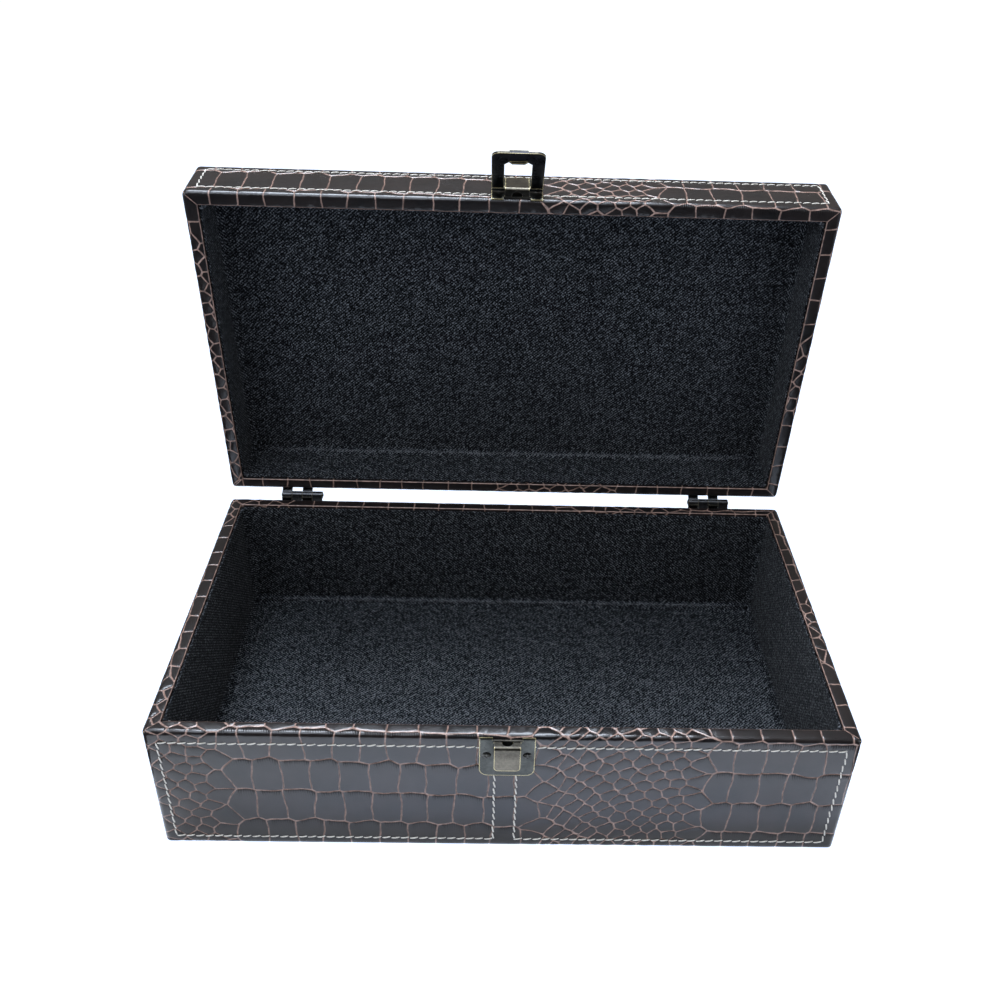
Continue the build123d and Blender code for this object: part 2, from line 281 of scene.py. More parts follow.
def leatherette():
    """Black-brown hide with paler grooves, under a gloss coat, thinned a little in the grooves and taken away
    as painted shade along the creases and combed strokes under the level grooves.
    """
    shader = Shader("leatherette", Specular_IOR_Level=0.15, Coat_Roughness=0.2)
    place = shader.spot()
    groove = shader.attribute("groove")
    comb_and_shade = shader.attribute("comb_and_shade")
    cloud = shader.noise(place, 60.0, 4.0)
    top = shader.ramp(cloud, (0.3, (0.0034, 0.0028, 0.0030)), (0.7, (0.012, 0.0078, 0.0070)))
    wear = shader.noise(place, 420.0, 2.0)
    line = shader.ramp(wear, (0.3, (0.132, 0.085, 0.069)), (0.7, (0.350, 0.228, 0.184)))
    share = shader.ramp(groove, (0.25, 0.0), (0.62, 1.0))
    shader.feed(shader.mix(share, top, line), "Base Color")
    shader.feed(shader.ramp(shader.noise(place, 150.0, 3.0), (0.3, 0.35), (0.75, 0.55)), "Roughness")
    teeth = shader.wave(shader.spot("UV"), 0.29, "X", Distortion=2.2, Detail=2.0, Detail_Scale=0.5)
    band = shader.ramp(comb_and_shade, (0.15, 0.0), (0.7, 1.0))
    # painted shade: the coat is taken away in the combed strokes and along the creases under the level
    # grooves, so they read dark as if shaded
    strokes = shader.math("MULTIPLY", shader.ramp(teeth, (0.4, 0.0), (0.75, 0.95)), band)
    crease_shade = shader.ramp(comb_and_shade, (0.62, 0.0), (0.9, 1.0))
    dull = shader.math("MULTIPLY", share, 0.15)
    shade_and_dull = shader.math("MAXIMUM", shader.math("MAXIMUM", strokes, crease_shade), dull)
    finish = shader.math("SUBTRACT", 1.0, shade_and_dull)
    thin = shader.ramp(shader.noise(place, 26.0, 2.0), (0.3, 0.92), (0.7, 1.0))
    shader.feed(shader.math("MULTIPLY", finish, thin), "Coat Weight")
    pores = shader.noise(place, 900.0, 2.0)
    creases = shader.noise(place, 240.0, 5.0, 0.6)
    wrinkles = shader.math("MULTIPLY", shader.math("MULTIPLY", teeth, comb_and_shade), 2.6)
    grain = shader.math("ADD", shader.math("MULTIPLY", pores, 0.35), creases)
    shader.bump(shader.math("ADD", grain, wrinkles), 0.10, 0.55, coated=True)
    return shader.material


def thread():
    """Cream waxed thread, two plies twisted."""
    shader = Shader("thread", Roughness=0.6, Sheen_Weight=0.2)
    spread = shader.noise(shader.spot(), 700.0, 3.0)
    shader.feed(shader.ramp(spread, (0.25, (0.42, 0.385, 0.33)), (0.7, (0.76, 0.72, 0.64))), "Base Color")
    shader.bump(shader.wave(shader.spot("UV"), 0.9, "DIAGONAL"), 0.12, 0.8)
    return shader.material


def twill():
    """Black lining cloth: a napped twill at 45 degrees with paler flecks, painted paler as painted light on
    the roll along the back wall's crease and towards the front of the base floor.
    """
    shader = Shader("twill", Roughness=0.9, Specular_IOR_Level=0.03, Sheen_Weight=0.03, Sheen_Roughness=0.5)
    place = shader.spot("UV")
    layers = []
    for way, weight in ((-1, 0.19), (1, 0.08)):
        size = (way * tau / (WAVE_TURN * RIB_ACROSS), tau / (WAVE_TURN * RIB_UP), 1)
        turned = shader.add("ShaderNodeMapping", {"Vector": place, "Scale": size}).outputs["Vector"]
        rib = shader.wave(turned, 1.0, "DIAGONAL", Distortion=2.2, Detail=1.0, Detail_Scale=1.6)
        layers.append((rib, weight))
    tuft = shader.add("ShaderNodeTexVoronoi", {"Vector": place, "Scale": 1.4}).outputs["Color"]
    layers += [(tuft, 0.42), (shader.noise(place, 1.3, 1.0, 0.6), 0.31), (shader.attribute("rub_and_painted_light"), 0.13)]
    cloth = 0.0
    for layer, weight in layers:
        cloth = shader.math("ADD", shader.math("MULTIPLY", layer, weight), cloth)
    stops = (
        (0.36, (0.0006, 0.0008, 0.0011)),
        (0.48, (0.0056, 0.0064, 0.0077)),
        (0.60, (0.0282, 0.0308, 0.0348)),
        (0.73, (0.118, 0.126, 0.136)),
    )
    shader.feed(shader.ramp(cloth, *stops), "Base Color")
    shader.bump(cloth, 0.3, 0.7)
    return shader.material


def tarnish(shader, place, dark, light):
    """Soft clouds of tarnish between two tones, and fine specks over them."""
    cloud = shader.noise(place, 130.0, 3.0, 0.5)
    speck = shader.noise(place, 900.0, 2.0, 0.5)
    spread = shader.math("ADD", shader.math("MULTIPLY", cloud, 0.65), shader.math("MULTIPLY", speck, 0.35))
    return shader.ramp(spread, (0.36, dark), (0.66, light))


def bronze(name, dark, light, roughness, raised=None, wear_and_painted_light=None, shelf_shade=None):
    """Plated metal with fine scratches.

    Raised gives (way, start in mm, dark, light) for a part that stands out.
    Worn gives (reach in mm, dark, light) for the brass that shows along rubbed edges.
    Shelf gives (way, start in mm, dark, light) for the flat root of a tongue, painted darker as painted
    shade.
    """
    shader = Shader(name, Metallic=1.0)
    place = shader.spot()
    colour = tarnish(shader, place, dark, light)
    if raised:
        way, start, *tones = raised
        out = shader.dot(place, way)
        limits = {"Value": out, "From Min": start * MM, "From Max": (start + 0.3) * MM}
        share = shader.add("ShaderNodeMapRange", limits).outputs["Result"]
        colour = shader.mix(share, colour, tarnish(shader, place, *tones))
    if wear_and_painted_light:
        reach, *tones = wear_and_painted_light
        rounded = shader.add("ShaderNodeBevel", {"Radius": reach * MM}, samples=8).outputs["Normal"]
        flat = shader.add("ShaderNodeNewGeometry").outputs["True Normal"]
        edge = shader.ramp(shader.dot(rounded, flat), (0.87, 1.0), (0.965, 0.0))
        colour = shader.mix(edge, colour, tarnish(shader, place, *tones))
        shader.feed(shader.ramp(edge, (0.0, 1.0), (1.0, 0.45)), "Metallic")
    if shelf_shade:
        way, start, *tones = shelf_shade
        out = shader.dot(place, way)
        across = shader.add("ShaderNodeSeparateXYZ", {"Vector": place}).outputs["X"]
        limits = {0: across, 1: CATCH_MIDDLE * MM, 2: SHELF_HALF * MM}
        inside = shader.add("ShaderNodeMath", limits, operation="COMPARE").outputs[0]
        share = shader.math("MULTIPLY", inside, shader.math("GREATER_THAN", out, start * MM))
        colour = shader.mix(share, colour, tarnish(shader, place, *tones))
    shader.feed(colour, "Base Color")
    rub_and_painted_light = shader.noise(place, 200.0, 4.0)
    shader.feed(shader.ramp(rub_and_painted_light, (0.3, roughness + 0.10), (0.75, roughness)), "Roughness")
    stretched = shader.add("ShaderNodeMapping", {"Vector": place, "Scale": (1.0, 9.0, 9.0)}).outputs["Vector"]
    shader.bump(shader.noise(stretched, 330.0, 3.0), 0.03, 0.4)
    return shader.material


def fibreboard():
    shader = Shader("fibreboard", Roughness=0.85)
    fibre = shader.noise(shader.spot(), 900.0, 4.0, 0.65)
    shader.feed(shader.ramp(fibre, (0.3, (0.24, 0.16, 0.09)), (0.7, (0.46, 0.33, 0.21))), "Base Color")
    shader.bump(fibre, 0.1, 0.4)
    return shader.material


def backing_paper():
    """Matt black paper under the base, with a pressed grain."""
    shader = Shader("backing", Roughness=0.8)
    cell = shader.add("ShaderNodeTexVoronoi", {"Vector": shader.spot(), "Scale": 900.0}).outputs["Distance"]
    shader.feed(shader.ramp(cell, (0.1, (0.016, 0.016, 0.018)), (0.7, (0.05, 0.05, 0.053))), "Base Color")
    shader.bump(cell, 0.12, 0.6)
    return shader.material


HIDE_LOOK = leatherette()
THREAD_LOOK = thread()
TWILL_LOOK = twill()
BOARD_LOOK = fibreboard()
BACKING_LOOK = backing_paper()
BRASS_TONES = ((0.42, 0.345, 0.17), (0.84, 0.72, 0.40))
BLACK_TONES = ((0.044, 0.045, 0.048), (0.10, 0.10, 0.103))
LEAF_LOOK = bronze("leaf_black", *BLACK_TONES, 0.24, wear_and_painted_light=(0.5, (0.06, 0.055, 0.043), (0.20, 0.18, 0.13)))
LOOP_LOOK = bronze("loop_black", *BLACK_TONES, 0.24, wear_and_painted_light=(0.6, *BRASS_TONES))
SCREW_LOOK = bronze("screw_bronze", (0.045, 0.045, 0.041), (0.12, 0.115, 0.10), 0.24)
PIN_LOOK = bronze("pin_bronze", (0.06, 0.055, 0.043), (0.20, 0.18, 0.13), 0.28)
PLATE_TONES = ((0.050, 0.052, 0.048), (0.098, 0.100, 0.090))
TONGUE_TONES = ((0.082, 0.073, 0.058), (0.185, 0.165, 0.128))
TONGUE_START = 1.7  # a catch's tongue starts this far off the hide
LID_WAY = (0.0, -cos(SHUT_TURN), sin(SHUT_TURN))  # out of the lid's front wall
LID_FACE = -FRONT + PIVOT[1] * (1 - cos(SHUT_TURN)) + PIVOT[2] * sin(SHUT_TURN)
PLATE_EDGE = (0.9, *BRASS_TONES)
# painted shade: the flat root of each catch's tongue is painted darker than the rest of the tongue, standing
# in for the dark it reflects
SHELF_SHADE_TONES = ((0.028, 0.026, 0.022), (0.065, 0.058, 0.046))
RIM_WAY = (0.0, -sin(SHUT_TURN), -cos(SHUT_TURN))  # out of the lid's rim
RIM_FACE = -LID_RIM + PIVOT[2] * (1 - cos(SHUT_TURN)) - PIVOT[1] * sin(SHUT_TURN)
CATCH_LOOKS = {}
for half, way, face, rim_way, rim_face in (
    ("base", (0, -1, 0), -FRONT, (0, 0, 1), BASE_TOP),
    ("lid", LID_WAY, LID_FACE, RIM_WAY, RIM_FACE),
):
    tongue = (way, face + TONGUE_START, *TONGUE_TONES)
    shelf_shade = (rim_way, rim_face - SHELF_DROP, *SHELF_SHADE_TONES)
    CATCH_LOOKS[half] = bronze(f"{half}_catch", *PLATE_TONES, 0.27, tongue, PLATE_EDGE, shelf_shade)


# Surfaces: sheet places (s, v) to points, with h off the face
class Sheet:
    def place(self, s, v, h):
        s = np.asarray(s, float)
        v = np.asarray(v, float)
        step = 0.05
        across = self.surface(s + step, v) - self.surface(s - step, v)
        up = self.surface(s, v + step) - self.surface(s, v - step)
        normal = np.cross(across, up)
        normal /= np.maximum(np.linalg.norm(normal, axis=1), 1e-9)[:, None]
        points = self.surface(s, v) + normal * np.asarray(h, float)[:, None]
        return swung(points, -SHUT_TURN) if self.lid else points


class Wall(Sheet):
    """One side of a half. Its section runs between hidden ends, as (inset from the outside, height)."""

    STARTS = {"front": (-1, -1), "right": (1, -1), "back": (1, 1), "left": (-1, 1)}
    ALONG = {"front": (1, 0), "right": (0, 1), "back": (-1, 0), "left": (0, -1)}

    def __init__(self, side, section, radii, lid):
        self.lid = lid
        self.length = WIDTH if side in ("front", "back") else DEPTH
        self.start = np.array(self.STARTS[side]) * (WIDTH / 2, DEPTH / 2)
        self.along = np.array(self.ALONG[side], float)
        self.inward = np.array((-self.along[1], self.along[0]))
        self.section = np.array(section, float)
        self.radii = radii
        steps = np.diff(self.section, axis=0)
        lengths = np.hypot(*steps.T)
        self.ways = steps / lengths[:, None]
        self.stations = np.concatenate([[0], np.cumsum(lengths)])

    def flat_inset(self, v):
        return np.interp(v, self.stations, self.section[:, 0])

    def profile(self, v):
        index = np.clip(np.searchsorted(self.stations, v, "right") - 1, 0, len(self.ways) - 1)
        out = self.section[index] + (v - self.stations[index])[:, None] * self.ways[index]
        for k, radius in enumerate(self.radii, 1):
            near = abs(v - self.stations[k]) < radius
            turn = ((v[near] - self.stations[k]) / radius + 1) * pi / 4
            before, after = self.ways[k - 1], self.ways[k]
            centre = self.section[k] + radius * (after - before)
            out[near] = centre + radius * (np.sin(turn)[:, None] * before - np.cos(turn)[:, None] * after)
        return out

    def surface(self, s, v):
        inset, height = self.profile(v).T
        along = s.copy()
        deep = inset.copy()
        radius = CORNER_RADIUS
        for reach, sign, far in ((s, 1, 0.0), (self.length - s, -1, self.length)):
            near = (reach < radius) & (inset < radius)
            arc = radius - inset[near]
            turn = np.clip((radius - reach[near]) / arc, 0, 1) * pi / 4
            along[near] = far + sign * (radius - arc * np.sin(turn))
            deep[near] = radius - arc * np.cos(turn)
        plan = self.start + along[:, None] * self.along + deep[:, None] * self.inward
        return np.column_stack([plan, height])


class Top(Sheet):
    """The lid's top, to the middle of its rounded edges."""

    lid = True

    def surface(self, s, v):
        ends = []
        for place, size in ((s, WIDTH), (v, DEPTH)):
            reach = np.minimum(place, size - place)
            turn = np.clip(1 - reach / EDGE_RADIUS, 0, 1) * pi / 4
            inset = np.where(reach < EDGE_RADIUS, EDGE_RADIUS * (1 - np.sin(turn)), reach)
            ends.append((inset, EDGE_RADIUS * (1 - np.cos(turn))))
        (inset_x, drop_x), (inset_y, drop_y) = ends
        away = np.hypot(np.maximum(CORNER_RADIUS - inset_x, 0), np.maximum(CORNER_RADIUS - inset_y, 0))
        most = CORNER_RADIUS - EDGE_RADIUS * (1 - sqrt(0.5))
        corner = (inset_x < CORNER_RADIUS) & (inset_y < CORNER_RADIUS)
        pull = np.where(corner, np.minimum(1, most / (away + 1e-9)), 1)
        inset_x = CORNER_RADIUS - (CORNER_RADIUS - inset_x) * pull
        inset_y = CORNER_RADIUS - (CORNER_RADIUS - inset_y) * pull
        x = np.where(s < WIDTH / 2, inset_x - WIDTH / 2, WIDTH / 2 - inset_x)
        y = np.where(v < DEPTH / 2, inset_y - DEPTH / 2, DEPTH / 2 - inset_y)
        return np.column_stack([x, y, LID_TOP - np.maximum(drop_x, drop_y)])


# Embossed scales
def tile_runs(span, patches):
    """Stretches of a strip between its patches."""
    edges = [0.0]
    for start, end, _ in patches:
        edges += [start, end]
    edges.append(span)
    return [(a, b) for a, b in zip(edges[::2], edges[1::2]) if b - a > 1]


def scale_seeds(span, low, high, row_line, patches, rng):
    """Middles of the scales on a strip: rows of tall tiles, broken by patches of small ovals."""
    seeds = []
    first = floor((low - row_line) / TILE_HEIGHT) - 1
    last = ceil((high - row_line) / TILE_HEIGHT) + 1
    middle = (low + high) / 2
    for start, end in tile_runs(span, patches):
        count = max(1, round((end - start) / TILE_WIDTH))
        pitch = (end - start) / count
        for row in range(first, last):
            v = row_line + (row + 0.5) * TILE_HEIGHT
            phase = rng.uniform(-ROW_SHIFT, ROW_SHIFT)
            for k in range(count):
                s = start + (k + 0.5) * pitch + phase + TILE_LEAN * (v - middle)
                sway = ROW_SWAY * np.cos(tau * (s - SWAY_START) / SWAY_PERIOD)
                loose = ODD_JOG if rng.random() < ODD_SHARE else 1.0
                jog = rng.uniform(-1, 1, 2) * TILE_JOG * (1, loose)
                seeds.append((s + jog[0], v + sway + jog[1]))
    for start, end, rise in patches:
        below, above = OVAL_ROOM
        for j in range(floor((low - below) / OVAL_HEIGHT), ceil((high + above) / OVAL_HEIGHT)):
            s = start + OVAL_MARGIN + (j % 2) * OVAL_WIDTH / 2
            while s < end - OVAL_MARGIN:
                share = (s - start) / (end - start)
                slant = rise * (s - start) * (1 - SLANT_EASE * share)
                across = s + rng.normal(0, OVAL_JOG[0])
                seeds.append((across, j * OVAL_HEIGHT + slant + rng.normal(0, OVAL_JOG[1])))
                s += OVAL_WIDTH * (OVAL_STRETCH - OVAL_SHRINK * share)
    seeds = np.array(seeds)
    return seeds[(seeds[:, 1] > low - TILE_HEIGHT) & (seeds[:, 1] < high + TILE_HEIGHT)]


def clipped(polygon, normal, limit):
    """Convex polygon cut to the side where point . normal <= limit."""
    out = []
    for (ax, ay), (bx, by) in zip(polygon, polygon[1:] + polygon[:1]):
        da = limit - ax * normal[0] - ay * normal[1]
        db = limit - bx * normal[0] - by * normal[1]
        if da >= 0:
            out.append((ax, ay))
        if (da >= 0) != (db >= 0):
            share = da / (da - db)
            out.append((ax + share * (bx - ax), ay + share * (by - ay)))
    return out


def scale_cells(seeds, span=None):
    """Outline of each scale about its seed: the ground nearer to it than to any other."""
    reach = 2 * TILE_HEIGHT
    every = seeds
    if span:
        ahead = seeds[seeds[:, 0] < reach] + (span, 0)
        behind = seeds[seeds[:, 0] > span - reach] - (span, 0)
        every = np.concatenate([seeds, ahead, behind])
    cells = []
    for seed in every:
        away = every - seed
        far = np.hypot(*away.T)
        polygon = [(-reach, -reach), (reach, -reach), (reach, reach), (-reach, reach)]
        for index in np.argsort(far)[1:NEIGHBOURS]:
            if far[index] / 2 > max(hypot(*point) for point in polygon):
                break
            normal = away[index] / far[index]
            polygon = clipped(polygon, normal, far[index] / 2)
        cells.append((seed, np.array(polygon)))
    return cells


def wobble(points):
    """Slow waver that keeps the grooves from running dead straight."""
    s, v = points.T
    ds = 0.4 * np.sin(0.21 * s + 0.27 * v) + 0.12 * np.sin(0.8 * v - 0.42 * s + 1.7)
    dv = 0.5 * np.sin(0.24 * s - 0.19 * v + 0.6) + 0.16 * np.sin(0.75 * s + 0.4 * v + 2.9)
    return points + np.column_stack([ds, dv])


def scale_rings(seed, polygon):
    """Rings of one scale from its groove inwards, each (points, heights, groove share, combing and
    painted-shade shares).
    """
    sides = np.roll(polygon, -1, axis=0) - polygon
    lengths = np.hypot(*sides.T)
    real = lengths > 1e-6
    corners, sides, lengths = polygon[real], sides[real], lengths[real]
    outward = np.column_stack([sides[:, 1], -sides[:, 0]]) / lengths[:, None]
    points, rises = [], []
    for corner, side, length, way in zip(corners, sides, lengths, outward):
        count = max(1, ceil(length / EDGE_SAMPLE))
        points += [corner + side * k / count for k in range(count)]
        rises += [way[1]] * count
    points, rises = np.array(points), np.array(rises)
    limits = (corners * outward).sum(1)
    gaps = limits - points @ outward.T
    size = limits.min()
    tile = size > TILE_SIZE
    begin, fade = TILE_COMB if tile else OVAL_COMB
    comb_and_shade = np.clip((rises - begin) / fade, 0, 1)
    levels = [(GROOVE_FLANK + LEVEL_FLANK * abs(rises), -FLANK_DEPTH * GROOVE_DEPTH, 0.5, 1.0)]
    bands = TILE_BANDS if tile else OVAL_BANDS
    levels += [(np.full(len(points), inset), height, 0.0, comb_shade_share) for inset, height, comb_shade_share in bands]
    rings = [(points, np.full(len(points), -GROOVE_DEPTH), 1.0, 0 * comb_and_shade)]
    for inset, height, share, comb_shade_share in levels:
        inset = (inset * min(1, SMALL_INSET * size / GROOVE_SHOULDER))[:, None]
        draw = np.where(gaps < inset, (inset - gaps) / np.maximum(limits - gaps, 1e-6), 0).max(1)
        for _ in range(2):
            draw = (np.roll(draw, 1) + 2 * draw + np.roll(draw, -1)) / 4
        ring = points * (1 - np.clip(draw, 0, MOST_DRAW))[:, None]
        rings.append((ring, height - COMB_SINK * comb_and_shade * comb_shade_share, share, comb_and_shade * comb_shade_share))
    crown = np.full(len(points), TILE_CROWN if tile else OVAL_CROWN)
    rings.append((rings[-1][0] * CROWN, crown, 0.0, 0 * comb_and_shade))
    return [(ring + seed, heights, share, comb_shade_share) for ring, heights, share, comb_shade_share in rings]


def write_points(mesh, name, values):
    mesh.attributes.new(name, "FLOAT", "POINT").data.foreach_set("value", np.array(values, np.float32))


def quads(lower, upper, count, closed=True):
    """Faces between two rows of points, each starting at a given index."""
    pairs = [(k, (k + 1) % count) for k in range(count if closed else count - 1)]
    return [(lower + k, lower + after, upper + after, upper + k) for k, after in pairs]


def scale_sheet(cells, box):
    """Flat bmesh of the scales that reach into the box (s0, s1, v0, v1)."""
    lowest = np.array(box[::2]) - SHEET_MARGIN
    highest = np.array(box[1::2]) + SHEET_MARGIN
    verts, faces, heights, shares, combs_and_shades = [], [], [], [], []
    for seed, polygon in cells:
        if (seed + polygon.max(0) < lowest).any() or (seed + polygon.min(0) > highest).any():
            continue
        rings = scale_rings(seed, polygon)
        count = len(rings[0][0])
        base = len(verts)
        for points, ring_heights, share, comb_shade_share in rings:
            verts += list(wobble(points))
            heights += list(ring_heights)
            shares += [share] * count
            combs_and_shades += list(comb_shade_share)
        verts.append(wobble(seed[None])[0])
        heights.append(0.0)
        shares.append(0.0)
        combs_and_shades.append(0.0)
        for lower in range(base, base + (len(rings) - 1) * count, count):
            faces += quads(lower, lower + count, count)
        lower = base + (len(rings) - 1) * count
        faces += [(lower + k, lower + (k + 1) % count, base + len(rings) * count) for k in range(count)]
    mesh = new_mesh("flat", [(s, v, 0) for s, v in verts], faces)
    for name, values in (("height", heights), ("groove", shares), ("comb_and_shade", combs_and_shades)):
        write_points(mesh, name, values)
    bm = bmesh.new()
    bm.from_mesh(mesh)
    bpy.data.meshes.remove(mesh)
    bmesh.ops.remove_doubles(bm, verts=bm.verts[:], dist=WELD)
    return bm


def split(bm, point, normal):
    geometry = bm.verts[:] + bm.edges[:] + bm.faces[:]
    bmesh.ops.bisect_plane(bm, geom=geometry, dist=1e-4, plane_co=(*point, 0), plane_no=(*normal, 0))


def closed_shell(name, outer, inner, faces):
    """Mesh of a sheet with an outer and an inner skin, closed along its edges."""
    count = len(outer)
    ways = {(a, b) for face in faces for a, b in zip(face, face[1:] + face[:1])}
    rims = sorted((a, b) for a, b in ways if (b, a) not in ways)
    skins = faces + [tuple(index + count for index in reversed(face)) for face in faces]
    skins += [(b, a, a + count, b + count) for a, b in rims]
    return new_mesh(name, np.concatenate([outer, inner]) * MM, skins)


def lay_out(mesh, name, spots):
    """Gives each point of a mesh its place on the flat sheet, in millimetres."""
    corners = np.zeros(len(mesh.loops), int)
    mesh.loops.foreach_get("vertex_index", corners)
    layer = mesh.uv_layers.new(name=name)
    layer.data.foreach_set("uv", spots[corners].astype(np.float32).ravel())


def finish_piece(mesh, name, body, look, replaced=None):
    mesh.materials.append(look)
    mesh.shade_smooth()
    mesh.set_sharp_from_angle(angle=SHARP)
    piece = linked(name, mesh)
    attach(piece, body)
    if replaced:
        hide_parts(replaced)


def hide_piece(name, surface, bm, keep, tint, depth, body, replaced):
    """Wraps a flat sheet of scales round its surface and gives it thickness."""
    centres = np.array([face.calc_center_median()[:2] for face in bm.faces])
    kept = keep(*centres.T)
    waste = [face for face, stays in zip(bm.faces, kept) if not stays]
    bmesh.ops.delete(bm, geom=waste, context="FACES")
    bm.verts.index_update()
    flat = np.array([vertex.co[:2] for vertex in bm.verts])
    faces = [tuple(vertex.index for vertex in face.verts) for face in bm.faces]
    layers = bm.verts.layers.float
    heights, shares, combs_and_shades = (
        np.array([vertex[layers[key]] for vertex in bm.verts]) for key in ("height", "groove", "comb_and_shade")
    )
    bm.free()
    heights = np.maximum(heights, -depth(*flat.T))
    shares = np.maximum(shares, tint(*flat.T))
    outer = surface.place(*flat.T, heights)
    inner = surface.place(*flat.T, np.full(len(flat), -HIDE))
    mesh = closed_shell(name, outer, inner, faces)
    for key, values in (("groove", shares), ("comb_and_shade", combs_and_shades)):
        write_points(mesh, key, np.concatenate([values, np.zeros(len(values))]))
    lay_out(mesh, "hide", np.concatenate([flat, flat]))
    finish_piece(mesh, name, body, HIDE_LOOK, replaced)


def groove_depth(reach):
    return EDGE_DEPTH + (GROOVE_DEPTH - EDGE_DEPTH) * np.clip(reach, 0, 1)


def half_covers(half, walls, rim_at, high, zero, row_line, patches, rng):
    """The four wall covers of a half, cut from one strip of hide that runs round it."""
    span = 2 * (WIDTH + DEPTH)
    seeds = scale_seeds(span, -zero, high - zero, row_line, patches, rng) + (0, zero)
    cells = scale_cells(seeds, span)
    begin = 0.0
    for side in SIDES:
        wall = walls[side]
        length = wall.length
        shifted = [(seed - (begin, 0), polygon) for seed, polygon in cells]
        bm = scale_sheet(shifted, (0, length, 0, high))
        for share in CORNER_CUTS:
            split(bm, (share * CORNER_RADIUS, 0), (1, 0))
            split(bm, (length - share * CORNER_RADIUS, 0), (1, 0))
        for station, radius in zip(wall.stations[1:], wall.radii):
            for share in BEND_CUTS:
                split(bm, (0, station + share * radius), (0, 1))
        for v in (0, high):
            split(bm, (0, v), (0, 1))
        for k in range(len(wall.ways)):
            lean = wall.ways[k][0]
            v = wall.stations[k]
            inset = wall.section[k][0]
            for extra in (0, MITRE_WIDTH):
                split(bm, (inset + extra, v), (1, -lean))
                split(bm, (length - inset - extra, v), (1, lean))

        def keep(s, v):
            inset = wall.flat_inset(v)
            return (v > 0) & (v < high) & (s > inset) & (s < length - inset)

        def tint(s, v):
            inset = wall.flat_inset(v)
            reach = np.minimum(s, length - s) - inset
            mitre = np.where(inset > CORNER_RADIUS / 2, SEAM_TINT * np.clip(1 - reach / MITRE_WIDTH, 0, 1), 0)
            edge = SEAM_TINT * np.clip(RIM_FULL - abs(v - rim_at) / RIM_LINE, 0, 1)
            return np.maximum(mitre, edge)

        def depth(s, v):
            reach = np.minimum(s, length - s) / CORNER_RADIUS - 1
            for station, radius in zip(wall.stations[1:], wall.radii):
                reach = np.minimum(reach, abs(v - station) / radius - EDGE_CALM)
            return groove_depth(reach)

        hide_piece(f"{half}_{side}_leather", wall, bm, keep, tint, depth, half, f"{half}_{side}_cover")
        begin += length


BASE_SECTION = ((TURN_UNDER, 0), (0, 0), (0, BASE_TOP), (RIM, BASE_TOP), (RIM, BASE_TOP - FOLD_SHOWN))
LID_SECTION = ((RIM, LID_RIM + FOLD_SHOWN), (RIM, LID_RIM), (0, LID_RIM), (0, LID_TOP), (RIM, LID_TOP))
BASE_RADII = (FOOT_RADIUS, EDGE_RADIUS, FOLD_RADIUS)
LID_RADII = (FOLD_RADIUS, EDGE_RADIUS, EDGE_RADIUS)
BASE_WALLS = {side: Wall(side, BASE_SECTION, BASE_RADII, False) for side in SIDES}
LID_WALLS = {side: Wall(side, LID_SECTION, LID_RADII, True) for side in SIDES}
BASE_ZERO = TURN_UNDER  # station of the foot
LID_ZERO = FOLD_SHOWN + RIM  # station of the lid's rim edge

# Patches of ovals as (start, end, rise), with starts and ends along the strip
BASE_PATCHES = (
    (0, 31, -0.25),
    (177, 251, 0.75),
    (372, 425, 0.5),
    (560, 622, -0.4),
    (790, 850, 0.5),
    (968, 1004, -0.2),
)
LID_PATCHES = ((176, 232, 0.5), (396, 450, -0.4), (600, 668, 0.6), (830, 985, 0.3))
TOP_PATCHES = ((176, 236, 0.6),)

rng = np.random.default_rng(SEED)
base_rim = BASE_ZERO + BASE_TOP + RIM
base_end = base_rim + FOLD_SHOWN
half_covers("base", BASE_WALLS, base_rim, base_end, BASE_ZERO, BASE_ROW_LINE, BASE_PATCHES, rng)
half_covers("lid", LID_WALLS, FOLD_SHOWN, LID_ZERO + LID_HEIGHT, LID_ZERO, LID_ROW_LINE, LID_PATCHES, rng)


def lid_top_cover():
    seeds = scale_seeds(WIDTH, 0, DEPTH, TOP_ROW_LINE, TOP_PATCHES, rng)
    bm = scale_sheet(scale_cells(seeds), (0, WIDTH, 0, DEPTH))
    for share in CORNER_CUTS:
        inset = share * EDGE_RADIUS
        for s in (inset, WIDTH - inset):
            split(bm, (s, 0), (1, 0))
        for v in (inset, DEPTH - inset):
            split(bm, (0, v), (0, 1))

    def keep(s, v):
        return (s > 0) & (s < WIDTH) & (v > 0) & (v < DEPTH)

    def tint(s, v):
        return np.zeros(len(s))

    def depth(s, v):
        reach = np.minimum(np.minimum(s, WIDTH - s), np.minimum(v, DEPTH - v))
        return groove_depth(reach / EDGE_RADIUS - EDGE_CALM)

    hide_piece("lid_top_leather", Top(), bm, keep, tint, depth, "lid", "lid_top_cover")


lid_top_cover()


# Stitching
def stitch_template(rings=7, around=8):
    """One stitch: its points as (along, across, height), its faces, and each point's place on the thread."""
    points, places = [], []
    arch, fall = STITCH_ARCH
    for j in range(rings):
        along = -1 + 2 * (j + 0.5) / rings
        girth = (1 - along**4) ** 0.5
        rise = STITCH_RISE * (arch - fall * along**2)
        for k in range(around):
            turn = tau * k / around
            across = STITCH_WIDTH / 2 * girth * np.cos(turn)
            height = rise + STITCH_RISE / 2 * girth * np.sin(turn)
            points.append((along * STITCH_LENGTH / 2, across, height))
            places.append((along * STITCH_LENGTH / 2, k / around * 2))
    faces = []
    for j in range(rings - 1):
        faces += quads(j * around, (j + 1) * around, around)
    faces.append(tuple(reversed(range(around))))
    faces.append(tuple(range((rings - 1) * around, rings * around)))
    return np.array(points), faces, np.array(places)


